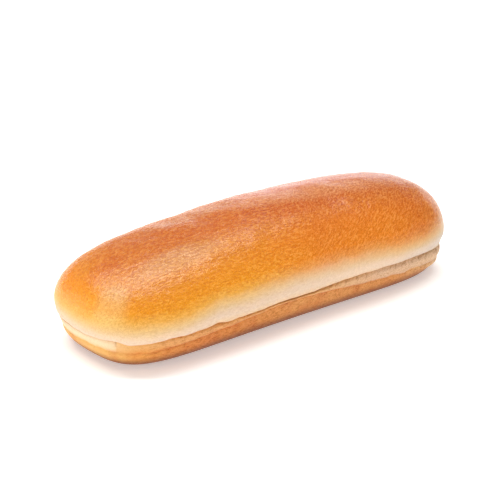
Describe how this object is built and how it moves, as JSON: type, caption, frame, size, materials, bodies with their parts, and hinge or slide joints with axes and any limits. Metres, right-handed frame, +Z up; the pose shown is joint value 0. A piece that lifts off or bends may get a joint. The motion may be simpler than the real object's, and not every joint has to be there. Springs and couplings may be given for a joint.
{
  "type": "brioche hot dog bun",
  "caption": "Long soft brioche hot dog bun with a smooth glazed dome, pale lower sides, a shallow crease all round and a flat browned base.",
  "frame": {"origin": "centre of the bun's footprint, on the surface that it rests on", "axes": "+X along the bun towards its narrower and slightly taller end, -Y towards the side that is usually shown, +Z up through the dome"},
  "size_m": [0.16, 0.0602, 0.04],
  "materials": {
    "crust": "egg-washed brioche crust with a soft satin sheen, orange brown on the dome, golden on the shoulders, cream on the lower sides and orange brown on the base"
  },
  "bodies": {
    "root": {"bun": "crust"}
  },
  "joints": []
}
